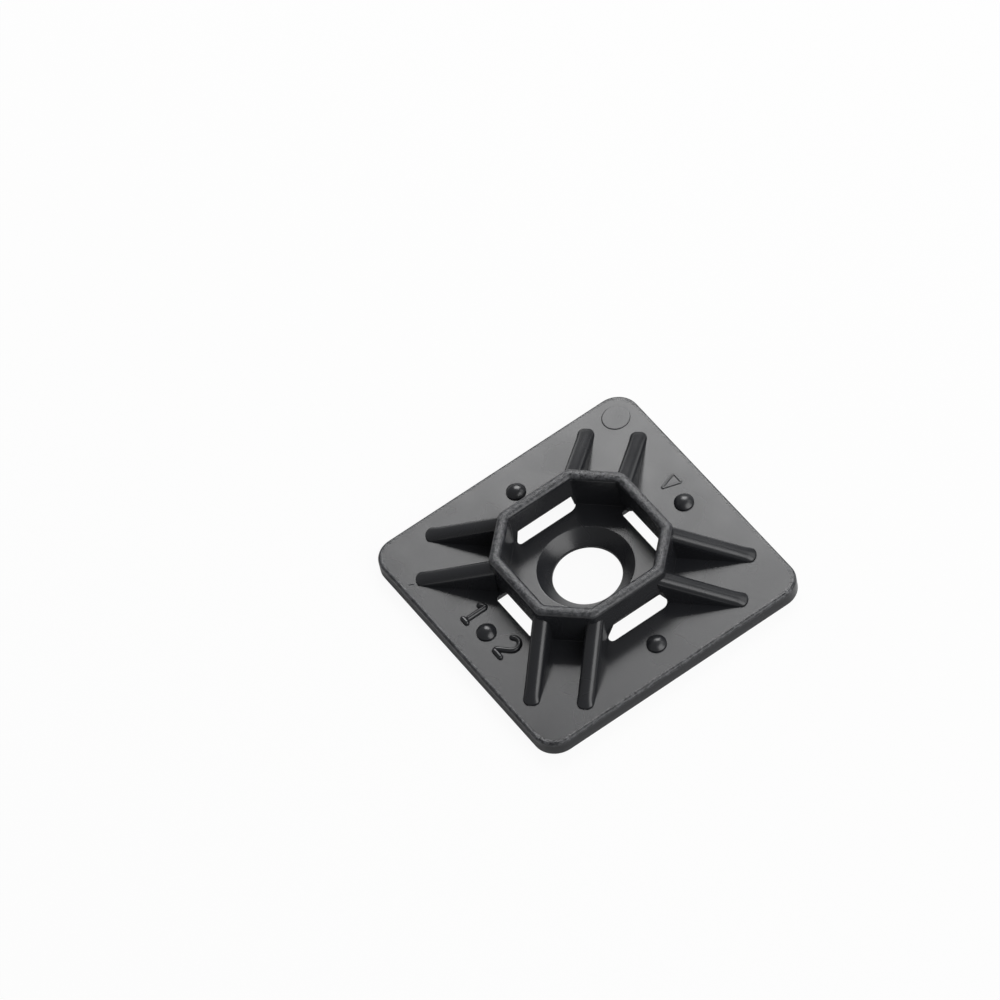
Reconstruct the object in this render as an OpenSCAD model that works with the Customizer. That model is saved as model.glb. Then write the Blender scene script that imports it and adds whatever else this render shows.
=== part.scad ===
// Cable tie mount: a flat square base with a raised eight-sided ring.
// Ties pass under the four straight bars of the ring, through the slots below
// them. A countersunk screw hole in the middle holds the mount down.
// Origin: centre of the flat back face. +Z points away from the wall.

/* [Base plate] */
// side of the square base
base_side = 28; // [27:0.5:34]
// thickness of the base
base_t = 1.5; // [1.2:0.1:2.5]
// corner radius of the base, seen from above
base_corner_r = 2.2; // [1:0.1:3]
// small bevel along the upper edge of the base
base_edge_bevel = 0.25; // [0.1:0.05:0.4]

/* [Screw hole] */
// diameter of the clearance hole at the back face
hole_d = 6.3; // [4:0.1:7]
// length of the straight part of the hole
hole_straight = 0.3; // [0.2:0.05:0.6]
// diameter of the countersink at the top of the base
countersink_d = 8.8; // [7.6:0.1:9.5]

/* [Ring] */
// distance from the centre to the middle of a straight bar
bar_offset = 6.85; // [6.4:0.05:7.5]
// half the length of a straight bar, along the middle of the wall
bar_half = 3.55; // [3.1:0.05:4]
// thickness of the ring wall
wall_t = 1.1; // [0.9:0.05:1.4]
// height of the ring above the base
ring_h = 3.95; // [3.4:0.05:5.5]

/* [Tie slots] */
// clear height for the tie between the base and the bar
tie_gap = 1.3; // [1:0.05:1.8]
// width of each slot through the base, across the bar
slot_w = 2.15; // [1.6:0.05:2.4]
// half the length of each slot on the side nearer the screw hole
slot_half_in = 2.95; // [2.4:0.05:3.1]
// how much further each end of the slot reaches on the outer side
slot_flare = 0.35; // [0:0.05:0.5]

/* [Ribs] */
// thickness of each rib, which is also the diameter of its round top
rib_t = 1.56; // [1.2:0.05:1.8]
// distance from the base corner line to the middle of a rib
rib_offset = 2.4; // [2.2:0.05:2.7]
// height of a rib above the base where it meets the ring
rib_h_in = 3.1; // [2.5:0.05:3.2]
// height of a rib above the base at its outer end
rib_h_out = 0.2; // [0.1:0.05:0.6]
// distance along the base corner line to the outer end of a rib
rib_reach = 15; // [13.5:0.1:15.6]

/* [Raised dots] */
// diameter of the raised dots
dot_d = 1.85; // [1.2:0.05:2.2]
// distance from the centre to each dot
dot_offset = 10.8; // [9.8:0.1:11.4]
// height of the straight edge of a dot
dot_edge_h = 0.12; // [0.05:0.01:0.3]
// height of the blunt cone on top of a dot
dot_cone_h = 0.3; // [0.1:0.05:0.6]
// diameter of the flat tip of a dot
dot_tip_d = 0.2; // [0.1:0.05:0.5]
// diameter of the round ejector mark near one corner
ejector_d = 2.6; // [1.5:0.1:2.8]
// height of the ejector mark above the base
ejector_h = 0.05; // [0.03:0.01:0.1]
// distance along the base corner line to the ejector mark
ejector_reach = 16.4; // [15.8:0.1:16.8]

/* [Hidden] */
// how far raised details are sunk into the base, and how far cuts run past it
root = 0.4;
past = 1;
e = 0.01;
arc_steps = 8;
bar_z = base_t + tie_gap;
top_z = base_t + ring_h;
wall_half = wall_t / 2;
// middle line of the corner walls, measured square to them
corner_offset = (bar_offset + bar_half) / sqrt(2);
corner_half = (bar_offset - bar_half) / sqrt(2);
rib_half = rib_t / 2;

tie_mount();

// The whole moulding in one piece.
module tie_mount() {
    color("#2b2d2f")
    difference() {
        union() {
            base_plate();
            ring();
            ribs();
            dots();
            ejector_mark();
        }
        tie_windows();
        screw_hole();
    }
}

// Square plate with round corners and a bevelled upper edge.
module base_plate() {
    corner = base_side / 2 - base_corner_r;
    hull() {
        for (sx = [-1, 1], sy = [-1, 1]) {
            translate([sx * corner, sy * corner, 0])
            cylinder(h = base_t - base_edge_bevel, r = base_corner_r, $fn = 32);
            translate([sx * corner, sy * corner, 0])
            cylinder(h = base_t, r = base_corner_r - base_edge_bevel, $fn = 32);
        }
    }
}

// Upright profile with a round top: x across, y up, from the foot to the crown.
module round_topped(half, foot, crown) {
    shoulder = crown - half;
    polygon(concat(
        [[-half, foot]],
        [for (i = [0 : arc_steps])
            [-half * cos(180 * i / arc_steps), shoulder + half * sin(180 * i / arc_steps)]],
        [[half, foot]]
    ));
}

// One straight length of wall, square to +X, cut to meet its neighbours.
module wall_length(offset, half, cut_angle) {
    reach = 2 * half + 2 * wall_t;
    intersection() {
        translate([offset, reach / 2, 0])
        rotate([90, 0, 0])
        linear_extrude(height = reach)
        round_topped(wall_half, base_t - root, top_z);
        linear_extrude(height = top_z + past)
        polygon([
            [0, 0],
            [2 * offset, 2 * offset * tan(cut_angle)],
            [2 * offset, -2 * offset * tan(cut_angle)]
        ]);
    }
}

// Eight lengths of wall: four bars and four corner walls.
module ring() {
    bar_cut = atan(bar_half / bar_offset);
    corner_cut = 45 - bar_cut;
    for (i = [0 : 3]) {
        rotate([0, 0, 90 * i]) wall_length(bar_offset, bar_half, bar_cut);
        rotate([0, 0, 90 * i + 45]) wall_length(corner_offset, corner_half, corner_cut);
    }
}

// Slots through the base that also clear the space under each bar.
module tie_windows() {
    near = bar_offset - slot_w / 2;
    far = bar_offset + slot_w / 2;
    half_out = slot_half_in + slot_flare;
    for (i = [0 : 3]) {
        rotate([0, 0, 90 * i])
        translate([0, 0, -past])
        linear_extrude(height = bar_z + past)
        polygon([
            [near, -slot_half_in],
            [far, -half_out],
            [far, half_out],
            [near, slot_half_in]
        ]);
    }
}

// Rib seen from above, with a rounded outer end.
module rib_plan() {
    nose = rib_reach - rib_half;
    union() {
        translate([corner_offset, -rib_half]) square([nose - corner_offset, rib_t]);
        translate([nose, 0]) circle(r = rib_half, $fn = 48);
    }
}

// Round-topped bar that slopes from the ring down to the end of the rib.
module rib_bar() {
    run = rib_reach - corner_offset;
    fall = rib_h_in - rib_h_out;
    slope = atan(fall / run);
    translate([corner_offset, 0, base_t + rib_h_in])
    rotate([0, slope, 0])
    translate([-past, 0, 0])
    rotate([90, 0, 90])
    linear_extrude(height = run / cos(slope) + 2 * past)
    round_topped(rib_half, -rib_h_in - base_t, 0);
}

// A rib: the sloping bar, cut to its plan and rooted in the base.
module rib() {
    intersection() {
        rib_bar();
        translate([0, 0, base_t - root])
        linear_extrude(height = rib_h_in + root)
        rib_plan();
    }
}

// Two ribs run out to each corner of the base.
module ribs() {
    for (i = [0 : 3], side = [-1, 1]) {
        rotate([0, 0, 90 * i + 45])
        translate([0, side * rib_offset, 0])
        rib();
    }
}

// A raised dot with a blunt cone in the middle of each side.
module dots() {
    for (i = [0 : 3]) {
        rotate([0, 0, 90 * i])
        translate([dot_offset, 0, base_t - root]) {
            cylinder(h = root + dot_edge_h, d = dot_d, $fn = 48);
            translate([0, 0, root + dot_edge_h])
            cylinder(h = dot_cone_h, d1 = dot_d, d2 = dot_tip_d, $fn = 48);
        }
    }
}

// A faint round mark near one corner.
module ejector_mark() {
    rotate([0, 0, 45])
    translate([ejector_reach, 0, base_t - root])
    cylinder(h = root + ejector_h, d = ejector_d, $fn = 48);
}

// Straight hole at the back, opening into the countersink above.
module screw_hole() {
    cone_h = base_t - hole_straight;
    translate([0, 0, -past]) cylinder(h = base_t + 2 * past, d = hole_d, $fn = 96);
    translate([0, 0, hole_straight])
    cylinder(h = cone_h + e, d1 = hole_d, d2 = countersink_d, $fn = 96);
}
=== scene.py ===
"""A square cable tie mount moulded in black nylon, with its floor, lamps and camera.

The moulding's sizes are in millimetres until its shells become a mesh. The studio is in metres.
"""

import logging
import math
from dataclasses import dataclass, field
from enum import Enum

import bmesh
import bpy
import numpy as np
from mathutils import Matrix, Vector
from mathutils.geometry import delaunay_2d_cdt


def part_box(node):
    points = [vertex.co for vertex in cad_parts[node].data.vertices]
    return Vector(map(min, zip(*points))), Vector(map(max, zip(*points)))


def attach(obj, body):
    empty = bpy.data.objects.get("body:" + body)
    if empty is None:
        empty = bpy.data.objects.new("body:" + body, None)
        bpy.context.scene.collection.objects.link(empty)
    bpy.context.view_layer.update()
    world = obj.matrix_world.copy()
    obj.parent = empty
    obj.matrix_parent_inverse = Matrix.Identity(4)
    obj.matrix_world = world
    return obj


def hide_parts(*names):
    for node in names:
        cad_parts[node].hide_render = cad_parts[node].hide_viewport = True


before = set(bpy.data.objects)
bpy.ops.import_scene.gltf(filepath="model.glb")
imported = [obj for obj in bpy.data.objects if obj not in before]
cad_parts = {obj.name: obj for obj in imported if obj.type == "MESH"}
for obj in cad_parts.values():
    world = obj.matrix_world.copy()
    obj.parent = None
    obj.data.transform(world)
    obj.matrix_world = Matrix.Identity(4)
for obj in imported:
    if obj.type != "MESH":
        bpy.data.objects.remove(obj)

log = logging.getLogger("tie_mount")
MM = 0.001

# The base's side and the crown's height come from the frame's own node, to 0.01 mm.
LOW, HIGH = (np.round(np.array(corner) / MM, 2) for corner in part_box("tie_mount"))
SIDE = float(HIGH[0] - LOW[0])
TOP_Z = float(HIGH[2])
# Thickness of the base, on whose top everything stands.
PLATE_T = 1.5
# Distance from the hole's axis to the middle line of each bar of the ring.
BAR_OFFSET = 6.85
# Height of the underside of the bars.
WINDOW_Z = 2.8
# Width of the strip kept flat beside each rounded edge, so that shading stays flat up to it.
HOLD = 0.03
# Tangent of 22.5 degrees, half the turn between two sides of the ring.
HALF_TURN_TAN = math.sqrt(2) - 1


# ---------------------------------------------------------------- surfaces


def arc(centre: tuple[float, float], radius: float, start: float, end: float, steps: int) -> np.ndarray:
    """Points along a circular arc.

    Formula: centre + radius * (cos a, sin a), with a evenly spaced from start to end.

    Args:
        centre: middle of the circle, in mm.
        radius: radius in mm.
        start: first angle in degrees.
        end: last angle in degrees.
        steps: number of spaces between points.

    Returns:
        An array of steps + 1 points, (steps + 1, 2).
    """
    a = np.radians(np.linspace(start, end, steps + 1))
    return np.column_stack([centre[0] + radius * np.cos(a), centre[1] + radius * np.sin(a)])


def turn_about_z(degrees: float) -> np.ndarray:
    """Matrix, (3, 3), that turns points about Z when they are multiplied by it, as rows."""
    c, s = math.cos(math.radians(degrees)), math.sin(math.radians(degrees))
    return np.array([[c, s, 0], [-s, c, 0], [0, 0, 1]])


def grid_quads(rows: int, columns: int, wrap_rows: bool) -> np.ndarray:
    """Quads that join neighbouring points of a grid whose rows are loops.

    Args:
        rows: number of rows.
        columns: number of columns.
        wrap_rows: whether the last row joins the first.

    Returns:
        Corner indices, (faces, 4), where point (r, c) is r * columns + c.
    """
    r = np.arange(rows if wrap_rows else rows - 1)[:, None]
    c = np.arange(columns)[None, :]
    below, right = (r + 1) % rows, (c + 1) % columns
    corners = [r * columns + c, r * columns + right, below * columns + right, below * columns + c]
    return np.stack([np.broadcast_to(k, np.broadcast(r, c).shape).ravel() for k in corners], axis=1)


@dataclass
class Shell:
    """A closed surface as plain arrays: points in mm and faces as corner indices."""

    points: np.ndarray
    faces: list[tuple[int, ...]]

    @classmethod
    def from_grid(cls, points: np.ndarray, wrap_rows: bool = False) -> "Shell":
        """Makes a shell from a grid of points whose rows are loops.

        Args:
            points: the grid, (rows, columns, 3).
            wrap_rows: whether the last row joins the first.

        Returns:
            The shell, with one quad between each four neighbours.
        """
        rows, columns = points.shape[:2]
        quads = grid_quads(rows, columns, wrap_rows)
        return cls(points.reshape(-1, 3), [tuple(q) for q in quads.tolist()])

    def joined(self, *others: "Shell") -> "Shell":
        """Puts several shells into one, each keeping its own faces.

        Args:
            others: the shells to add to this one.

        Returns:
            The joined shell.
        """
        points, faces = [self.points], list(self.faces)
        count = len(self.points)
        for other in others:
            faces += [tuple(i + count for i in f) for f in other.faces]
            points.append(other.points)
            count += len(other.points)
        return Shell(np.vstack(points), faces)

    def turned(self, degrees: float, mirrored: bool = False) -> "Shell":
        """Turns the shell about Z.

        Args:
            degrees: how far it is turned.
            mirrored: whether +Y and -Y are swapped first.

        Returns:
            The turned shell, with its faces still pointing outwards.
        """
        mirror = np.array([1.0, -1.0 if mirrored else 1.0, 1.0])
        faces = [f[::-1] for f in self.faces] if mirrored else list(self.faces)
        return Shell(self.points * mirror @ turn_about_z(degrees), faces)

    def welded(self) -> bmesh.types.BMesh:
        """Merges doubled points, drops empty faces and points every face outwards.

        Returns:
            The surface in metres, which the caller frees.
        """
        double, empty = 1e-7, 1e-8
        bm = bmesh.new()
        corners = [bm.verts.new(p) for p in (self.points * MM).tolist()]
        for f in self.faces:
            if len(set(f)) > 2:
                bm.faces.new([corners[i] for i in f])
        bmesh.ops.remove_doubles(bm, verts=bm.verts, dist=double)
        bmesh.ops.dissolve_degenerate(bm, edges=bm.edges, dist=empty)
        bmesh.ops.recalc_face_normals(bm, faces=bm.faces)
        return bm


@dataclass
class RoundedOutline:
    """A closed convex outline in plan: straight sides joined by arcs.

    Formula: each corner is an arc about a fixed centre. The outline moved outwards by d
    keeps the centres and adds d to the radii, so every offset has matching points.
    """

    corners: np.ndarray
    radii: np.ndarray
    steps: int

    def at(self, offset: float, z: float) -> np.ndarray:
        """The outline moved outwards, at one height.

        Args:
            offset: how far outwards.
            z: the height.

        Returns:
            The points, steps + 1 to each corner, (points, 3).
        """
        here, last, after = self.corners, np.roll(self.corners, 1, 0), np.roll(self.corners, -1, 0)
        to_last = (last - here) / np.linalg.norm(last - here, axis=1, keepdims=True)
        to_next = (after - here) / np.linalg.norm(after - here, axis=1, keepdims=True)
        half = np.arccos(np.clip(np.sum(to_last * to_next, axis=1), -1, 1)) / 2
        inward = to_last + to_next
        inward /= np.linalg.norm(inward, axis=1, keepdims=True)
        centres = here + inward * (self.radii / np.sin(half))[:, None]
        away = np.arctan2(-inward[:, 1], -inward[:, 0])
        swing = math.pi / 2 - half
        a = away[:, None] + np.linspace(-1, 1, self.steps + 1)[None, :] * swing[:, None]
        r = (self.radii + offset)[:, None, None]
        xy = centres[:, None, :] + r * np.stack([np.cos(a), np.sin(a)], axis=2)
        return np.column_stack([xy.reshape(-1, 2), np.full(xy[..., 0].size, z)])


@dataclass
class LeaningOutline:
    """An outline that changes evenly from one at the top to another at the back.

    Formula: at height z the points are top * share + back * (1 - share), with share = z / height.
    """

    top: RoundedOutline
    back: RoundedOutline
    height: float

    def at(self, offset: float, z: float) -> np.ndarray:
        """The outline moved outwards by offset, at height z, as (points, 3)."""
        share = min(max(z / self.height, 0.0), 1.0)
        return self.top.at(offset, z) * share + self.back.at(offset, z) * (1 - share)


@dataclass
class RoundOutline:
    """A circle in plan, which an offset makes larger."""

    radius: float
    steps: int = 96

    def at(self, offset: float, z: float) -> np.ndarray:
        """The circle with radius + offset, at height z, as (points, 3)."""
        a = np.linspace(0, 2 * math.pi, self.steps, endpoint=False)
        r = self.radius + offset
        return np.column_stack([r * np.cos(a), r * np.sin(a), np.full(self.steps, z)])


Outline = RoundedOutline | LeaningOutline | RoundOutline


def carried(outline: Outline, profile: np.ndarray) -> np.ndarray:
    """A profile carried round an outline.

    Formula: row i is the outline moved outwards by profile[i, 0], at height profile[i, 1].

    Args:
        outline: the outline to follow.
        profile: offset and height of each row, (rows, 2).

    Returns:
        A grid of points, (rows, points round the outline, 3).
    """
    return np.stack([outline.at(d, z) for d, z in profile.tolist()])


def lathed(profile: np.ndarray, centre: tuple[float, float], steps: int) -> np.ndarray:
    """A profile turned about an upright axis.

    Formula: point (i, j) is centre + profile[i, 0] * (cos a_j, sin a_j), at height profile[i, 1].

    Args:
        profile: radius and height of each row, (rows, 2).
        centre: where the axis stands, in mm.
        steps: number of points round the axis.

    Returns:
        A grid of points, (rows, steps, 3).
    """
    a = np.linspace(0, 2 * math.pi, steps, endpoint=False)
    x = centre[0] + profile[:, :1] * np.cos(a)
    y = centre[1] + profile[:, :1] * np.sin(a)
    return np.stack([x, y, np.broadcast_to(profile[:, 1:], x.shape)], axis=2)


def bead(path: np.ndarray, half: float, height: float, base_z: float) -> np.ndarray:
    """A low rounded bead laid along a path, for marks that stand up from a face.

    Formula: at each station the section is half an ellipse of half-width w and height h, square
    to the path. Within half of either end w and h shrink as sqrt(1 - t^2), which rounds the end.

    Args:
        path: points of the path in plan, (points, 2), in mm.
        half: half the bead's width in mm.
        height: its height in mm.
        base_z: height of the face it stands on, in mm.

    Returns:
        A grid of points, (stations, points across, 3).
    """
    spacing, sunk, thinnest = 0.06, 0.03, 1e-4
    step = np.linalg.norm(np.diff(path, axis=0), axis=1)
    run = np.concatenate([[0], np.cumsum(step)])
    cap = half * (1 - np.cos(np.radians(np.linspace(0, 90, 6))))
    count = max(int((run[-1] - 2 * half) / spacing), 2)
    middle = np.linspace(half, run[-1] - half, count)[1:-1]
    at = np.concatenate([cap, middle, run[-1] - cap[::-1]])
    xy = np.column_stack([np.interp(at, run, path[:, k]) for k in (0, 1)])
    along = np.gradient(xy, at, axis=0)
    along /= np.linalg.norm(along, axis=1, keepdims=True)
    side = np.column_stack([-along[:, 1], along[:, 0]])
    t = np.clip(1 - np.minimum(at, run[-1] - at) / half, 0, 1)
    size = np.sqrt(np.maximum(1 - t**2, thinnest))
    a = np.radians(np.linspace(0, 180, 11))
    flat = xy[:, None, :] + side[:, None, :] * (half * size[:, None] * np.cos(a))[..., None]
    z = base_z + height * size[:, None] * np.sin(a)
    under = np.full((len(at), 1), base_z - sunk)
    return np.dstack([
        np.concatenate([flat[:, :1], flat, flat[:, -1:]], axis=1),
        np.concatenate([under, z, under], axis=1),
    ])


def capped(grid: np.ndarray) -> Shell:
    """Closes a grid whose rows are loops.

    Args:
        grid: the points, (rows, columns, 3).

    Returns:
        The shell, with its first and last loops filled.
    """
    rows, columns = grid.shape[:2]
    shell = Shell.from_grid(grid)
    last = (rows - 1) * columns
    shell.faces += [tuple(range(columns)), tuple(range(last + columns - 1, last - 1, -1))]
    return shell


def within(points: np.ndarray, loop: np.ndarray) -> np.ndarray:
    """Tells which points lie inside a convex loop.

    Formula: a point is inside when it is on the same side of every edge, so the cross products
    of the edges with the lines to the point all have one sign.

    Args:
        points: the points, (n, 2).
        loop: the loop's corners, (m, 2).

    Returns:
        One truth value a point, (n,).
    """
    edge = np.roll(loop, -1, axis=0) - loop
    to = points[:, None, :] - loop[None, :, :]
    side = edge[None, :, 0] * to[..., 1] - edge[None, :, 1] * to[..., 0]
    return np.all(side > 0, axis=1) | np.all(side < 0, axis=1)


def flat_between(loops: list[np.ndarray]) -> Shell:
    """Fills the flat area between an outer loop and the loops inside it.

    Args:
        loops: closed convex loops at one height, (points, 3), the outer one first.

    Returns:
        The triangles of the flat.
    """
    inside_only, nearest = 1, 1e-9
    points = np.vstack(loops)
    starts = np.cumsum([0] + [len(p) for p in loops])
    edges = [
        (int(s + i), int(s + (i + 1) % len(p)))
        for s, p in zip(starts, loops)
        for i in range(len(p))
    ]
    flat_points = [Vector(p) for p in points[:, :2].tolist()]
    found = delaunay_2d_cdt(flat_points, edges, [], inside_only, nearest)
    xy = np.array([tuple(v) for v in found[0]])
    triangles = np.array([tuple(f) for f in found[2]])
    middle = xy[triangles].mean(axis=1)
    keep = ~np.any([within(middle, loop[:, :2]) for loop in loops[1:]], axis=0)
    filled = np.column_stack([xy, np.full(len(xy), points[0, 2])])
    return Shell(filled, [tuple(f) for f in triangles[keep].tolist()])


# --------------------------------------------------------------- materials


def linear(code: str) -> tuple[float, float, float, float]:
    """Turns an sRGB hex colour such as "#2b2d2f" into linear red, green, blue and alpha."""
    raw = [int(code[i : i + 2], 16) / 255 for i in (1, 3, 5)]
    return (*[c / 12.92 if c <= 0.04045 else ((c + 0.055) / 1.055) ** 2.4 for c in raw], 1.0)


def add_node(
    tree: bpy.types.NodeTree, kind: str, inputs: dict[str | int, object], **settings: object
) -> bpy.types.Node:
    """Adds a node with its settings and links.

    Args:
        tree: the node tree.
        kind: Blender's name for the node type.
        inputs: for each input's name or number, a constant, the socket that feeds it, or a node
            whose first output feeds it.
        settings: the node's own properties.

    Returns:
        The new node.
    """
    made = tree.nodes.new(kind)
    for name, value in settings.items():
        setattr(made, name, value)
    for name, value in inputs.items():
        if isinstance(value, bpy.types.Node):
            value = value.outputs[0]
        if isinstance(value, bpy.types.NodeSocket):
            tree.links.new(value, made.inputs[name])
        else:
            made.inputs[name].default_value = value
    return made


def empty_material(name: str) -> bpy.types.Material:
    """Makes a material with an empty node tree."""
    made = bpy.data.materials.new(name)
    made.use_nodes = True
    made.node_tree.nodes.clear()
    return made


@dataclass(frozen=True)
class MouldedNylon:
    """Black polyamide 66, injection moulded in a spark-eroded tool. Lengths in mm.

    It gives the eye a near-black body with a satin sheen: a fine eroded grain, slow waves where
    the melt cooled unevenly, and a crown and plate edge rubbed brighter by handling. The real
    grain is finer than 0.1 mm, and is drawn coarser so that it shows.

    Each band says where the wear starts and where it is full: in from the plate's side, down
    from the plate's top, and down from the crown. The speck band is in shares of the noise.
    """

    body: str = "#1d1e21"
    bloom: str = "#232427"
    scuffed: str = "#58595c"
    ior: float = 1.53
    smoothest: float = 0.18
    roughest: float = 0.33
    worn_roughness: float = 0.04
    wave: float = 3.5
    grain: float = 0.16
    scuff: float = 0.32
    dent: float = 0.08
    grain_depth: float = 0.008
    grain_strength: float = 0.35
    edge_band: tuple[float, float] = (0.4, 0.05)
    lip_band: tuple[float, float] = (0.4, 0.1)
    crown_band: tuple[float, float] = (0.35, 0.05)
    speck_band: tuple[float, float] = (0.42, 0.68)
    corner_power: float = 15.0

    def handled(self, tree: bpy.types.NodeTree, place: bpy.types.NodeSocket) -> bpy.types.Node:
        """Adds the mask of what hands rub: the ring's crown and the plate's upper edge.

        Formula: the distance towards the edge is (|x|^p + |y|^p)^(1/p) over the half side, with
        p = corner_power. Its level lines follow the plate's round corners.

        Args:
            tree: the node tree.
            place: the point's place on the object.

        Returns:
            The node whose output is 1 where the surface is rubbed and 0 elsewhere.
        """
        apart = add_node(tree, "ShaderNodeSeparateXYZ", {"Vector": place})
        half_side, top = SIDE / 2, apart.outputs["Z"]
        powers = []
        for axis in ("X", "Y"):
            size = add_node(tree, "ShaderNodeMath", {0: apart.outputs[axis]}, operation="ABSOLUTE")
            share = add_node(tree, "ShaderNodeMath", {0: size, 1: half_side * MM}, operation="DIVIDE")
            raised = {0: share, 1: self.corner_power}
            powers.append(add_node(tree, "ShaderNodeMath", raised, operation="POWER"))
        both = add_node(tree, "ShaderNodeMath", {0: powers[0], 1: powers[1]}, operation="ADD")
        root = {0: both, 1: 1 / self.corner_power}
        outwards = add_node(tree, "ShaderNodeMath", root, operation="POWER")
        bands = []
        for value, start, full in (
            (outwards, *(1 - width / half_side for width in self.edge_band)),
            (top, *((PLATE_T - depth) * MM for depth in self.lip_band)),
            (top, *((TOP_Z - depth) * MM for depth in self.crown_band)),
        ):
            reach = {"Value": value, "From Min": start, "From Max": full}
            bands.append(add_node(tree, "ShaderNodeMapRange", reach))
        edge, lip, crown = bands
        rim = add_node(tree, "ShaderNodeMath", {0: edge, 1: lip}, operation="MULTIPLY")
        return add_node(tree, "ShaderNodeMath", {0: crown, 1: rim}, operation="MAXIMUM")

    def material(self) -> bpy.types.Material:
        """Builds the material.

        Returns:
            The finish, on Object coordinates.
        """
        made = empty_material("moulded nylon")
        tree = made.node_tree
        place = add_node(tree, "ShaderNodeTexCoord", {}).outputs["Object"]
        patterns = []
        for size, detail, fineness in (
            (self.wave, 1.0, 0.4),
            (self.grain, 3.0, 0.6),
            (self.scuff, 4.0, 0.7),
        ):
            noise = {
                "Vector": place, "Scale": 1 / (size * MM), "Detail": detail, "Roughness": fineness,
            }
            patterns.append(add_node(tree, "ShaderNodeTexNoise", noise))
        waves, grain, scuffs = patterns
        handled = self.handled(tree, place)
        speck = add_node(
            tree, "ShaderNodeMapRange",
            {"Value": scuffs, "From Min": self.speck_band[0], "From Max": self.speck_band[1]},
        )
        rubbed = add_node(tree, "ShaderNodeMath", {0: handled, 1: speck}, operation="MULTIPLY")
        shade = add_node(
            tree, "ShaderNodeMix",
            {"Factor": waves, 6: linear(self.body), 7: linear(self.bloom)}, data_type="RGBA",
        )
        worn = add_node(
            tree, "ShaderNodeMix",
            {"Factor": rubbed, 6: shade.outputs[2], 7: linear(self.scuffed)}, data_type="RGBA",
        )
        rough = add_node(
            tree, "ShaderNodeMapRange",
            {"Value": waves, "To Min": self.smoothest, "To Max": self.roughest},
        )
        rougher = add_node(
            tree, "ShaderNodeMath",
            {0: handled, 1: self.worn_roughness, 2: rough}, operation="MULTIPLY_ADD",
        )
        uneven = add_node(tree, "ShaderNodeMath", {0: scuffs, 1: 0.5}, operation="SUBTRACT")
        nicks = add_node(tree, "ShaderNodeMath", {0: handled, 1: uneven}, operation="MULTIPLY")
        dented = add_node(
            tree, "ShaderNodeBump", {"Height": nicks, "Strength": 1.0, "Distance": self.dent * MM}
        )
        relief = add_node(
            tree, "ShaderNodeBump",
            {
                "Height": grain, "Strength": self.grain_strength,
                "Distance": self.grain_depth * MM, "Normal": dented,
            },
        )
        shader = add_node(
            tree, "ShaderNodeBsdfPrincipled",
            {"Base Color": worn.outputs[2], "Roughness": rougher, "IOR": self.ior, "Normal": relief},
        )
        add_node(tree, "ShaderNodeOutputMaterial", {"Surface": shader})
        return made


@dataclass(frozen=True)
class WhitePaper:
    """Matt white background paper, seen nearly pure white, which still takes the object's shadow."""

    colour: str = "#dcdcdc"
    glow: float = 0.93

    def material(self) -> bpy.types.Material:
        """Builds the material.

        Returns:
            The finish: matt paper, with a share of plain white where the camera sees it.
        """
        made = empty_material("white background paper")
        tree = made.node_tree
        seen = add_node(tree, "ShaderNodeLightPath", {}).outputs["Is Camera Ray"]
        share = add_node(tree, "ShaderNodeMath", {0: seen, 1: self.glow}, operation="MULTIPLY")
        paper = add_node(tree, "ShaderNodeBsdfDiffuse", {"Color": linear(self.colour)})
        light = add_node(tree, "ShaderNodeEmission", {"Color": (1, 1, 1, 1), "Strength": 1.0})
        both = add_node(tree, "ShaderNodeMixShader", {0: share, 1: paper, 2: light})
        add_node(tree, "ShaderNodeOutputMaterial", {"Surface": both})
        return made


# ------------------------------------------------------------ the moulding


@dataclass(frozen=True)
class CoreEnd:
    """One end of the core that shapes a slot and the window above it. Sizes in mm.

    Formula: at the plate's top the end lies half + flare * (out - BAR_OFFSET) from the middle,
    where out is the distance from the hole's axis. It leans in by lean for each mm up, and at
    the plate's back it lies further out by back - half.
    """

    half: float = 3.0
    flare: float = 0.0
    lean: float = 0.2
    back: float = 3.3
    near_r: float = 0.3
    far_r: float = 0.35

    def reach(self, out: np.ndarray | float, up: np.ndarray | float = 0.0) -> np.ndarray | float:
        """How far the end lies from the middle, at a distance out and a height above the plate."""
        return self.half + self.flare * (out - BAR_OFFSET) - self.lean * up


@dataclass(frozen=True)
class Core:
    """One of four cores. Low is its end at -Y and high its end at +Y when it lies at +X.

    The ends of the four differ a little, so each end has its own values.
    """

    low: CoreEnd = field(default_factory=CoreEnd)
    high: CoreEnd = field(default_factory=CoreEnd)
    back_r: float = 0.35

    def slot(self, near: float, far: float, back: bool) -> RoundedOutline:
        """Outline of the slot.

        Args:
            near: distance from the hole's axis to its near edge.
            far: distance to its far edge.
            back: True for the outline at the plate's back, False for the one at its top.

        Returns:
            The outline of the slot that lies at +X.
        """
        ends = [(self.low, -1), (self.high, 1)]
        shift = [(e.back - e.half if back else 0.0) for e, _ in ends]
        low_near, high_near = (sign * (e.reach(near) + d) for (e, sign), d in zip(ends, shift))
        low_far, high_far = (sign * (e.reach(far) + d) for (e, sign), d in zip(ends, shift))
        corners = np.array([[near, low_near], [far, low_far], [far, high_far], [near, high_near]])
        radii = np.array([self.low.near_r, self.low.far_r, self.high.far_r, self.high.near_r])
        return RoundedOutline(corners, np.full(4, self.back_r) if back else radii, 8)


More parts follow.
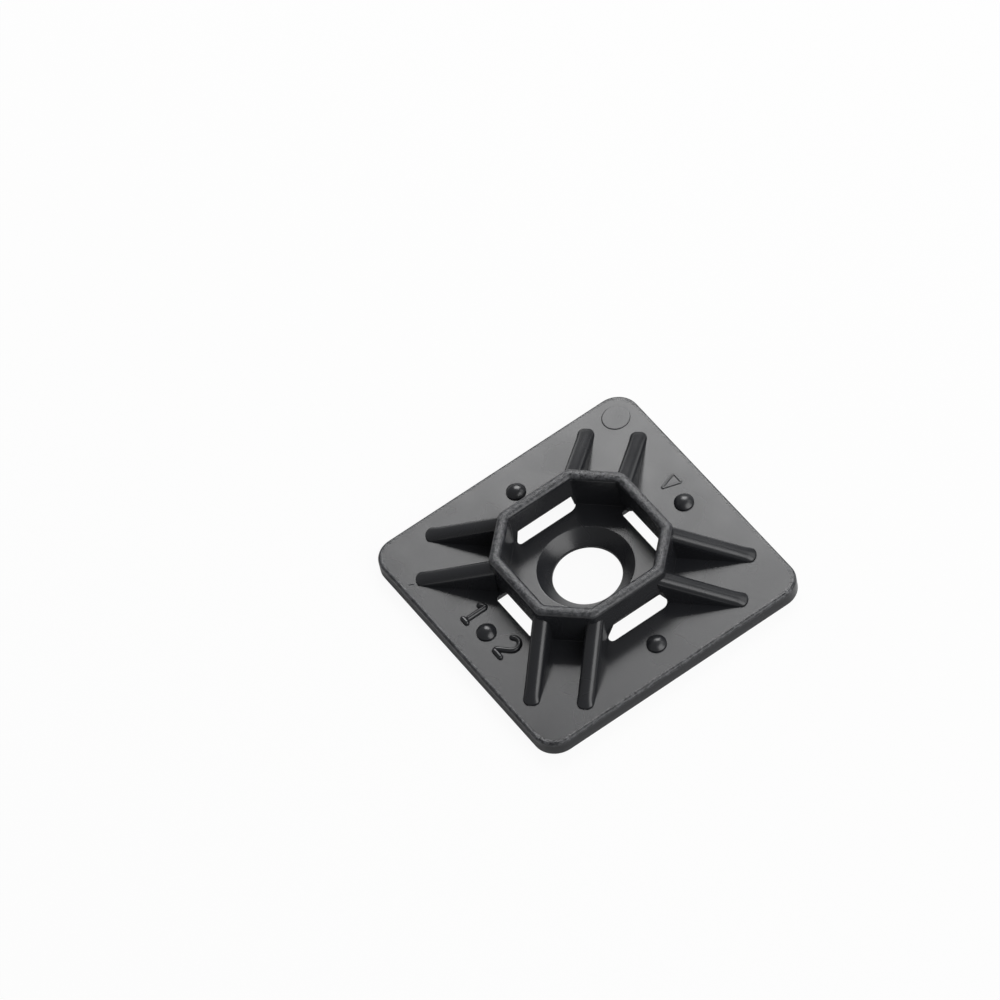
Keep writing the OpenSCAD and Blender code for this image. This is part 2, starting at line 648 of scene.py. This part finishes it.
# The cores at +X, +Y, -X and -Y.
CORES = (
    Core(high=CoreEnd(half=2.75, lean=1.15, back=3.38)),
    Core(
        low=CoreEnd(half=3.48, flare=0.1, lean=0.1, back=4.1, near_r=1.0, far_r=0.5),
        high=CoreEnd(half=3.0, flare=-0.05, lean=0.22, near_r=0.25),
    ),
    Core(low=CoreEnd(half=2.5, lean=0.8, back=3.15)),
    Core(
        low=CoreEnd(half=2.58, flare=0.4, lean=0.7, back=3.0),
        high=CoreEnd(half=3.5, lean=0.1, back=3.95, far_r=0.85),
    ),
)


@dataclass
class BasePlate:
    """The flat square base with its countersunk hole and four slots. Sizes in mm.

    Each section is a list of offset and height, from the flat top over the edge to the flat back.
    """

    corner_r: float = 2.2
    top_round: float = 0.25
    foot_round: float = 0.06
    hole_r: float = 3.15
    hole_straight: float = 0.3
    hole_round: float = 0.16
    hole_chamfer: float = 0.03
    sink_r: float = 4.4
    sink_round: float = 0.12
    slot_near: float = 5.85
    slot_far: float = 8.05
    slot_near_back: float = 5.74
    slot_far_back: float = 8.12
    slot_round: float = 0.1
    slot_chamfer: float = 0.04

    def edge_profile(self) -> np.ndarray:
        """Section of the outer edge: flat, rounded over, down the side and under.

        Returns:
            Offset and height of each row, (rows, 2).
        """
        r, f = self.top_round, self.foot_round
        return np.vstack([
            [[-r - HOLD, PLATE_T]],
            arc((-r, PLATE_T - r), r, 90, 0, 6),
            [[0, PLATE_T / 2]],
            arc((-f, f), f, 0, -90, 3),
            [[-f - HOLD, 0]],
        ])

    def hole_profile(self) -> np.ndarray:
        """Section of the screw hole: flat, over the rim, down the cone and out at the back.

        Formula: the cone leans by atan((sink_r - hole_r) / (thickness - hole_straight)) from
        upright. An arc tangent to two lines starts r * tan(half their turn) before they cross.

        Returns:
            Offset from hole_r and height of each row, (rows, 2).
        """
        k, small, c = self.sink_round, self.hole_round, self.hole_chamfer
        lean = math.degrees(math.atan2(self.sink_r - self.hole_r, PLATE_T - self.hole_straight))
        over = 90 - lean
        back = k * math.tan(math.radians(over / 2))
        tuck = small * math.tan(math.radians(lean / 2))
        return np.vstack([
            [[self.sink_r + back + HOLD, PLATE_T]],
            arc((self.sink_r + back, PLATE_T - k), k, 90, 90 + over, 5),
            arc((self.hole_r + small, self.hole_straight - tuck), small, 180 - lean, 180, 4),
            [[self.hole_r, c], [self.hole_r + c, 0], [self.hole_r + c + HOLD, 0]],
        ]) - [self.hole_r, 0]

    def slot_profile(self) -> np.ndarray:
        """Section of a slot's edge: flat, over the rim, down the side and out at the back.

        Returns:
            Offset and height of each row, (rows, 2).
        """
        r, c = self.slot_round, self.slot_chamfer
        return np.vstack([
            [[r + HOLD, PLATE_T]],
            arc((r, PLATE_T - r), r, 90, 180, 4),
            [[0, c], [c, 0], [c + HOLD, 0]],
        ])

    def outlines(self) -> list[tuple[Outline, np.ndarray]]:
        """Lists the outlines of the plate.

        Returns:
            Each outline with the profile that runs along it, the outer one first.
        """
        h = SIDE / 2
        square = np.array([[h, h], [-h, h], [-h, -h], [h, -h]])
        found = [
            (RoundedOutline(square, np.full(4, self.corner_r), 12), self.edge_profile()),
            (RoundOutline(self.hole_r), self.hole_profile()),
        ]
        for quarter, core in enumerate(CORES):
            turn = turn_about_z(90 * quarter)[:2, :2]
            top = core.slot(self.slot_near, self.slot_far, False)
            back = core.slot(self.slot_near_back, self.slot_far_back, True)
            top.corners, back.corners = top.corners @ turn, back.corners @ turn
            found.append((LeaningOutline(top, back, PLATE_T), self.slot_profile()))
        return found

    def shell(self) -> Shell:
        """Builds the plate.

        Returns:
            The profiles carried round each outline, and the two flats between them.
        """
        grids = [carried(outline, profile) for outline, profile in self.outlines()]
        walls = [Shell.from_grid(g) for g in grids]
        top = flat_between([g[0] for g in grids])
        back = flat_between([g[-1] for g in grids])
        return walls[0].joined(*walls[1:], top, back)


@dataclass
class Ring:
    """The raised eight-sided ring: four bars over the slots and four corner walls. Sizes in mm.

    A section is a list of offset from the ring's middle line and height. The sections of a bar
    and of a corner wall have the same number of points, so one runs into the other. The columns
    of points crowd at both ends of a window, at end_shares of its length.
    """

    bar_half: float = 3.55
    wall_t: float = 1.1
    crown_r: float = 0.45
    crown_n: float = 2.2
    crown_steps: int = 26
    window_r: float = 0.35
    proud: float = 0.01
    inner_r: float = 0.1
    outer_r: float = 0.5
    crown_inner_r: float = 0.6
    crown_outer_r: float = 0.9
    grow_from: float = WINDOW_Z + 0.3
    grow_to: float = TOP_Z - 0.2
    vertex_steps: int = 6
    foot_flare: float = 0.02
    under_round: float = 0.08
    root_z: float = 1.4
    end_shares: tuple[float, ...] = (0, 0.006, 0.014, 0.026, 0.042, 0.062, 0.1)

    def crown(self) -> np.ndarray:
        """Section of the top, from its outer side over to its inner side.

        Formula: half a superellipse, x = h cos^(2/n) a and z = r sin^(2/n) a, with n = crown_n.

        Returns:
            Offset and height of each row, (rows, 2).
        """
        h, r, k = self.wall_t / 2, self.crown_r, 2 / self.crown_n
        a = np.radians(np.linspace(0, 180, self.crown_steps + 1))
        x = h * np.sign(np.cos(a)) * np.abs(np.cos(a)) ** k
        z = TOP_Z - r + r * np.maximum(np.sin(a), 0) ** k
        foot = TOP_Z - r - HOLD
        return np.vstack([[[h, foot]], np.column_stack([x, z]), [[-h, foot]]])

    def post_profile(self) -> np.ndarray:
        """Section of a corner wall, from its outer foot over the top to its inner foot.

        Returns:
            Offset and height of each row, (rows, 2).
        """
        h, f, t = self.wall_t / 2, self.foot_flare, PLATE_T
        level = WINDOW_Z + self.under_round + HOLD - self.window_r
        return np.vstack([
            arc((h + f, t + f), f, 270, 180, 4),
            [[h, t + f + HOLD], [h, level]],
            self.crown(),
            [[-h, level], [-h, t + f + HOLD]],
            arc((-h - f, t + f), f, 0, -90, 4),
            [[-h - f, self.root_z], [h + f, self.root_z]],
        ])

    def bar_profile(self) -> np.ndarray:
        """Section of a bar, point for point with the corner wall's but closed underneath.

        Returns:
            Offset and height of each row, (rows, 2).
        """
        h, g, z = self.wall_t / 2, self.under_round, WINDOW_Z
        return np.vstack([
            [[h - g - HOLD, z]],
            arc((h - g, z + g), g, 270, 360, 4),
            [[h, z + g + HOLD]],
            self.crown(),
            [[-h, z + g + HOLD]],
            arc((-h + g, z + g), g, 180, 270, 4),
            [[-h + g + HOLD, z]],
            [[-h / 3, z], [h / 3, z]],
        ])

    def vertex_radius(self, profile: np.ndarray) -> np.ndarray:
        """Radius of the ring's vertex: it grows outwards, and again from grow_from to grow_to.

        Args:
            profile: offset and height of each row, (rows, 2).

        Returns:
            One radius a row, (rows,).
        """
        h = self.wall_t / 2
        low = np.interp(profile[:, 0], [-h, h], [self.inner_r, self.outer_r])
        high = np.interp(profile[:, 0], [-h, h], [self.crown_inner_r, self.crown_outer_r])
        share = np.clip((profile[:, 1] - self.grow_from) / (self.grow_to - self.grow_from), 0, 1)
        return low * (1 - share) + high * share

    def vertex_arc(self, profile: np.ndarray, first: bool) -> np.ndarray:
        """Rounded vertex of the ring for each row of the section.

        Formula: the bar lies at x = BAR_OFFSET + d and the corner wall at 45 degrees to it. An
        arc tangent to both has its centre r / cos(22.5) behind their crossing, on the bisector.

        Args:
            profile: offset d and height of each row, (rows, 2).
            first: True for the vertex that leaves a bar, False for the one that reaches the next.

        Returns:
            The grid of points, (rows, points along the arc, 3).
        """
        d, r = profile[:, 0], self.vertex_radius(profile)
        corner = np.stack([BAR_OFFSET + d, self.bar_half + HALF_TURN_TAN * d], axis=1)
        bisector = math.radians(22.5)
        towards = np.array([math.cos(bisector), math.sin(bisector)])
        centre = corner - towards * (r / math.cos(bisector))[:, None]
        a = np.radians(np.linspace(0, 45, self.vertex_steps + 1))
        xy = centre[:, None, :] + r[:, None, None] * np.stack([np.cos(a), np.sin(a)], axis=1)[None]
        past = xy[:, -1:] + HOLD * np.array([-math.sin(a[-1]), math.cos(a[-1])])
        xy = np.concatenate([xy, past], axis=1)
        xy = xy if first else xy[:, ::-1, ::-1]
        return np.dstack([xy, np.broadcast_to(profile[:, 1:], xy.shape[:2])])

    def at_end(self, profile: np.ndarray, end: CoreEnd, sign: float) -> np.ndarray:
        """The section set at one end of a window.

        Formula: its y is what the core's end reaches at that height, but no more than where the
        rounded vertex begins, which is bar_half + tan(22.5) * (d - r).

        Args:
            profile: offset d and height of each row, (rows, 2).
            end: the end of the core.
            sign: -1 for the end at -Y, 1 for the one at +Y.

        Returns:
            One column of points, (rows, 1, 3).
        """
        d, r = profile[:, 0], self.vertex_radius(profile)
        up = np.minimum(profile[:, 1], WINDOW_Z - self.window_r) - PLATE_T
        y = end.reach(BAR_OFFSET + d, up) - self.proud
        limit = self.bar_half + HALF_TURN_TAN * (d - r) - HOLD
        y = sign * np.minimum(y, limit)
        return np.stack([BAR_OFFSET + d, y, profile[:, 1]], axis=1)[:, None]

    def quarter(self, core: Core) -> np.ndarray:
        """One quarter of the ring, from the near end of a window round to the next window.

        The window's ends follow its core, and its upper corners are rounded: at a distance e
        from an end the underside is lower by R - sqrt(R^2 - (R - e)^2).

        Args:
            core: the core that shapes this quarter's window.

        Returns:
            The grid of points, (rows, columns, 3).
        """
        post, bar = self.post_profile(), self.bar_profile()
        low, high = self.at_end(bar, core.low, -1.0), self.at_end(bar, core.high, 1.0)
        near, middle = np.array(self.end_shares), np.linspace(0.2, 0.8, 7)
        share = np.concatenate([near, middle, 1 - near[::-1]])
        window = low * (1 - share[None, :, None]) + high * share[None, :, None]
        width = float(np.mean(high[:, 0, 1] - low[:, 0, 1]))
        inside = np.maximum(self.window_r - np.minimum(share, 1 - share) * width, 0)
        drop = self.window_r - np.sqrt(self.window_r**2 - inside**2)
        under = bar[:, 1] < WINDOW_Z + self.under_round + 2 * HOLD
        window[..., 2] -= under[:, None] * drop[None, :]
        starts, stops = self.at_end(post, core.low, -1.0), self.at_end(post, core.high, 1.0)
        vertices = self.vertex_arc(post, True), self.vertex_arc(post, False)
        return np.concatenate([starts, window, stops, *vertices], axis=1)

    def shell(self) -> Shell:
        """The whole ring: its four quarters, each turned to its place, closed on themselves."""
        around = [self.quarter(core) @ turn_about_z(90 * i) for i, core in enumerate(CORES)]
        return Shell.from_grid(np.concatenate(around, axis=1), wrap_rows=True)


@dataclass
class Ribs:
    """Eight wedge-shaped ribs with round tops, two to each corner. Sizes in mm.

    A rib runs along the base's corner line, offset beside it, from start in the middle of the
    ring's wall to reach. Its heights are above the plate.
    """

    start: float = 7.354
    reach: float = 15.0
    offset: float = 2.4
    half: float = 0.81
    top_drop: float = 0.75
    side_drop: float = 0.15
    top_n: float = 2.2
    height_in: float = 3.1
    height_out: float = 0.2
    nose_fall: float = 0.3
    slot_gap: float = 0.01
    sunk: float = 0.1
    bar_steps: int = 28
    bar_crowding: float = 1.7
    nose_steps: int = 14
    across_steps: int = 24

    def first_station(self, across: np.ndarray, end: CoreEnd) -> np.ndarray:
        """Where each line of the rib's foot starts, so that it never reaches into a slot.

        Formula: in plan the slot's end is the line y = half + flare * (x - BAR_OFFSET). With
        x = (s + c) / sqrt 2 and y = (s - c) / sqrt 2, it meets the line c = across at
        s = (c * (1 + flare) + sqrt 2 * (half - BAR_OFFSET * flare)) / (1 - flare).

        Args:
            across: distance of each line from the base's corner line.
            end: the end of the slot beside the rib.

        Returns:
            Distance along the corner line, of the same shape as across.
        """
        rise = math.sqrt(2) * (end.half - BAR_OFFSET * end.flare)
        met = (across * (1 + end.flare) + rise) / (1 - end.flare)
        return np.maximum(self.start, met + self.slot_gap)

    def one(self, end: CoreEnd) -> Shell:
        """One rib along +X, on the +Y side of the corner line.

        Formula: at a distance s along the corner line the crown is at h(s), which falls evenly
        from height_in to height_out. Across it the top is a superellipse: at a share x of the
        half-width it lies d * (1 - (1 - x^n)^(1/n)) under the crown, where d is top_drop or, if
        that is less, h + side_drop, and the sides stand straight down. Along the nose, at a
        share t of it, the width is sqrt(1 - t^2) of the rib's, as a circle's is, and the crown
        drops to the base as (1 - t^2)^nose_fall. The top runs into the ring, while the foot
        keeps off the slot, so at the root the flank leans over the slot's corner.

        Args:
            end: the end of the slot beside the rib.

        Returns:
            The closed rib.
        """
        nose = self.reach - self.half
        thinnest = 1e-6
        on_bar = np.linspace(0, 1, self.bar_steps + 1) ** self.bar_crowding
        on_nose = np.sin(np.radians(np.linspace(0, 90, self.nose_steps + 1)[1:]))
        u = np.concatenate([on_bar, np.ones(self.nose_steps)])
        t = np.concatenate([np.zeros(self.bar_steps + 1), on_nose])
        a = np.radians(np.linspace(0, 180, self.across_steps + 1))
        slope = math.atan((self.height_in - self.height_out) / (self.reach - self.start))
        width = self.half * np.sqrt(np.maximum(1 - t**2, thinnest))
        plain = -width[:, None] * np.cos(a)[None, :]
        c = self.offset + plain
        s = np.broadcast_to((self.start + u * (nose - self.start) + t * self.half)[:, None], c.shape)
        fall = (s - self.start) / (self.reach - self.start)
        crown = self.height_in + (self.height_out - self.height_in) * fall
        crown = crown * ((1 - t**2) ** self.nose_fall)[:, None]
        x = np.clip(np.abs(plain) / self.half, 0, 1)
        depth = np.minimum(self.top_drop / math.cos(slope), self.side_drop + crown)
        drop = depth * (1 - (1 - x**self.top_n) ** (1 / self.top_n))
        z = np.maximum(PLATE_T + crown - drop, PLATE_T - self.sunk / 2)
        top = np.stack([s, c, z], axis=2)
        low = top[:, [0, -1]].copy()
        first = self.first_station(low[:, :, 1], end)
        low[:, :, 0] = first + u[:, None] * (nose - first) + (t * self.half)[:, None]
        low[:, :, 2] = PLATE_T - self.sunk
        return capped(np.concatenate([low[:, :1], top, low[:, 1:]], axis=1))

    def shells(self) -> list[Shell]:
        """Builds all eight ribs.

        Returns:
            For each corner, the rib beside the next slot and the one beside the last.
        """
        found = []
        for i, core in enumerate(CORES):
            after = CORES[(i + 1) % len(CORES)]
            found.append(self.one(after.low).turned(90 * i + 45))
            found.append(self.one(core.high).turned(90 * i + 45, True))
        return found


@dataclass
class Dots:
    """Four raised dots with domed tops, and the round ejector mark. Sizes in mm."""

    radius: float = 0.91
    offset: float = 10.8
    edge_h: float = 0.16
    edge_round: float = 0.05
    top_h: float = 0.54
    ejector_r: float = 1.3
    ejector_reach: float = 16.4
    ejector_h: float = 0.035
    sunk: float = 0.1

    def dot_profile(self) -> np.ndarray:
        """Section of a dot: upright edge, rounded over, and a cap that is part of a sphere.

        Formula: a cap of half-width w and height h has the radius (w^2 + h^2) / 2h. It ends half
        a degree short of its pole, where a small face closes it.

        Returns:
            Radius and height of each row, (rows, 2).
        """
        r, k, foot = self.radius, self.edge_round, PLATE_T + self.edge_h
        half, rise = r - k, self.top_h - self.edge_h
        ball = (half**2 + rise**2) / (2 * rise)
        rim = math.degrees(math.acos(half / ball))
        return np.vstack([
            [[r, PLATE_T - self.sunk], [r, foot - k]],
            arc((half, foot - k), k, 15, rim, 3),
            arc((0.0, PLATE_T + self.top_h - ball), ball, rim, 89.5, 8)[1:],
        ])

    def ejector_profile(self) -> np.ndarray:
        """Section of the ejector mark: a low flat disc with a soft edge.

        Returns:
            Radius and height of each row, (rows, 2).
        """
        t, r, h = PLATE_T, self.ejector_r, self.ejector_h
        foot, shoulder, flat, middle = r + 0.03, r - 0.04, r - 0.12, 0.01
        return np.array([
            [foot, t - self.sunk], [foot, t - 0.005], [r, t + h * 0.6],
            [shoulder, t + h], [flat, t + h], [middle, t + h],
        ])

    def shells(self) -> list[Shell]:
        """Builds the four dots and the ejector mark.

        Returns:
            The five shells, each closed at the top and underneath.
        """
        places = [(self.offset, 0.0), (0.0, self.offset), (-self.offset, 0.0), (0.0, -self.offset)]
        along = self.ejector_reach / math.sqrt(2)
        grids = [lathed(self.dot_profile(), place, 48) for place in places]
        grids.append(lathed(self.ejector_profile(), (along, along), 64))
        return [capped(grid) for grid in grids]


class Mark(Enum):
    """The plain marks that stand up from the plate."""

    ONE = "one"
    TWO = "two"
    TRIANGLE = "triangle"
    TICK = "tick"

    def strokes(self) -> list[np.ndarray]:
        """Lists the mark's strokes.

        Returns:
            Each stroke as a path in plan in mm, (points, 2), upright and about the origin.
        """
        if self is Mark.ONE:
            return [
                np.array([[-0.5, -1.12], [0.62, -1.12]]),
                np.array([[0.06, -1.05], [0.06, 1.05], [0.0, 1.12], [-0.3, 0.98], [-0.62, 0.6]]),
            ]
        if self is Mark.TWO:
            bowl = arc((0.0, 0.45), 0.68, 165, -38, 18)
            return [np.vstack([bowl, [[-0.66, -1.1]]]), np.array([[-0.68, -1.14], [0.75, -1.14]])]
        if self is Mark.TRIANGLE:
            a, b, c = [-0.62, 0.85], [0.62, 0.85], [0.0, -0.95]
            return [np.array([a, c]), np.array([c, b]), np.array([a, b])]
        return [np.array([[0.0, -0.28], [0.0, 0.28]])]


@dataclass(frozen=True)
class PlacedMark:
    """A mark laid on the plate. Sizes in mm: its middle, and its strokes' half-width and height."""

    mark: Mark
    at: tuple[float, float]
    degrees: float
    half: float
    height: float

    def shells(self) -> list[Shell]:
        """Lays the mark's strokes on the plate.

        Returns:
            One bead a stroke.
        """
        found = []
        shares = np.linspace(0, 1, 9)[:-1, None]
        for stroke in self.mark.strokes():
            fine = [p + (q - p) * shares for p, q in zip(stroke[:-1], stroke[1:])]
            path = np.vstack([*fine, stroke[-1:]])
            shell = capped(bead(path, self.half, self.height, PLATE_T)).turned(self.degrees)
            shell.points = shell.points + np.array([*self.at, 0.0])
            found.append(shell)
        return found


# Plain raised marks: two figures, an open triangle and a tick.
MARKS = (
    PlacedMark(Mark.ONE, (-10.45, 2.33), -90, 0.27, 0.26),
    PlacedMark(Mark.TWO, (-10.25, -2.5), -90, 0.27, 0.26),
    PlacedMark(Mark.TRIANGLE, (11.1, 2.55), -90, 0.13, 0.05),
    PlacedMark(Mark.TICK, (-12.95, 8.62), 60, 0.06, 0.03),
)


@dataclass
class Moulding:
    """The whole one-piece mount, built from its features and dressed in nylon.

    An edge that turns by more than sharp_from, in degrees, is shaded sharp.
    """

    plate: BasePlate = field(default_factory=BasePlate)
    ring: Ring = field(default_factory=Ring)
    ribs: Ribs = field(default_factory=Ribs)
    dots: Dots = field(default_factory=Dots)
    marks: tuple[PlacedMark, ...] = MARKS
    finish: MouldedNylon = field(default_factory=MouldedNylon)
    sharp_from: float = 32.0

    def shells(self) -> list[Shell]:
        """All the features, each a closed shell."""
        marks = [shell for mark in self.marks for shell in mark.shells()]
        return [
            self.plate.shell(), self.ring.shell(), *self.ribs.shells(), *self.dots.shells(), *marks,
        ]

    def build(self) -> bpy.types.Object:
        """Makes the mesh, which stands for the frame's own plain node.

        Returns:
            The dressed piece.
        """
        mesh = bpy.data.meshes.new("tie_mount_moulding")
        whole = bmesh.new()
        for shell in self.shells():
            part = shell.welded()
            part.to_mesh(mesh)
            part.free()
            whole.from_mesh(mesh)
        whole.to_mesh(mesh)
        whole.free()
        mesh.shade_smooth()
        mesh.set_sharp_from_angle(angle=math.radians(self.sharp_from))
        piece = bpy.data.objects.new("tie_mount_moulding", mesh)
        bpy.context.scene.collection.objects.link(piece)
        piece.data.materials.append(self.finish.material())
        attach(piece, "root")
        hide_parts("tie_mount")
        log.info("moulding: %d faces", len(mesh.polygons))
        return piece


# ------------------------------------------------------------------ studio


@dataclass(frozen=True)
class Panel:
    """A soft rectangular lamp that faces the object. Lengths in metres.

    Its radiance is how bright its face is, where 1 is plain white.
    """

    name: str
    direction: tuple[float, float, float]
    distance: float
    size: tuple[float, float]
    radiance: float

    def build(self) -> None:
        """Adds the lamp, whose power is radiance * pi * the area of its face."""
        data = bpy.data.lights.new(self.name, "AREA")
        data.shape = "RECTANGLE"
        data.size, data.size_y = self.size
        data.energy = self.radiance * math.pi * self.size[0] * self.size[1]
        lamp = bpy.data.objects.new(self.name, data)
        away = Vector(self.direction).normalized()
        lamp.location = away * self.distance
        lamp.rotation_euler = away.to_track_quat("Z", "Y").to_euler()
        lamp.visible_camera = False
        bpy.context.scene.collection.objects.link(lamp)


# A soft lamp behind and to the right, and two dimmer panels.
PANELS = (
    Panel("softbox", (0.475, 0.575, 0.666), 0.35, (0.212, 0.182), 6.65),
    Panel("side panel", (0.74, -0.12, 0.66), 0.5, (0.2, 0.2), 1.3),
    Panel("front panel", (0.3, -0.7, 0.65), 0.6, (0.5, 0.5), 3.0),
)


@dataclass(frozen=True)
class Camera:
    """A long lens that looks down at the mount, rolled a little. Place in metres, lens in mm."""

    right: tuple[float, float, float] = (0.8113545, -0.5684668, -0.1361962)
    up: tuple[float, float, float] = (0.5299752, 0.6170498, 0.5817008)
    place: tuple[float, float, float] = (-0.1555778, -0.3286490, 0.5020729)
    lens: float = 251.81
    sensor: float = 36.0
    nearest: float = 0.01
    farthest: float = 20.0

    def build(self) -> None:
        """Adds the camera and makes it the scene's."""
        right, up = Vector(self.right), Vector(self.up)
        data = bpy.data.cameras.new("camera")
        data.lens, data.sensor_width = self.lens, self.sensor
        data.clip_start, data.clip_end = self.nearest, self.farthest
        eye = bpy.data.objects.new("camera", data)
        turn = Matrix((right, up, right.cross(up))).transposed().to_4x4()
        eye.matrix_world = Matrix.Translation(self.place) @ turn
        bpy.context.scene.collection.objects.link(eye)
        bpy.context.scene.camera = eye


@dataclass
class Studio:
    """The floor, the lamps and the camera. Lengths in metres."""

    floor_side: float = 3.0
    floor_z: float = -0.00003
    world_level: float = 0.25

    def floor(self) -> None:
        """Lays a plain white sheet just under the object."""
        h = self.floor_side / 2
        mesh = bpy.data.meshes.new("floor")
        corners = [(x, y, self.floor_z) for x, y in ((-h, -h), (h, -h), (h, h), (-h, h))]
        mesh.from_pydata(corners, [], [(0, 1, 2, 3)])
        sheet = bpy.data.objects.new("floor", mesh)
        bpy.context.scene.collection.objects.link(sheet)
        sheet.data.materials.append(WhitePaper().material())

    def room(self) -> None:
        """Sets the pale room's even light."""
        world = bpy.data.worlds.new("room")
        world.use_nodes = True
        tree = world.node_tree
        tree.nodes.clear()
        white = {"Color": (1, 1, 1, 1), "Strength": self.world_level}
        sky = add_node(tree, "ShaderNodeBackground", white)
        add_node(tree, "ShaderNodeOutputWorld", {"Surface": sky})
        bpy.context.scene.world = world

    def build(self) -> None:
        """Sets up everything round the object."""
        self.floor()
        for panel in PANELS:
            panel.build()
        self.room()
        Camera().build()
        bpy.context.scene.view_settings.view_transform = "Standard"
        log.info("studio: %d lamps", len(PANELS))


def main() -> None:
    """Builds the object and the studio in order."""
    logging.basicConfig(level=logging.INFO, format="%(name)s: %(message)s")
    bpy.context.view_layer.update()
    Moulding().build()
    Studio().build()


if __name__ == "__main__":
    main()
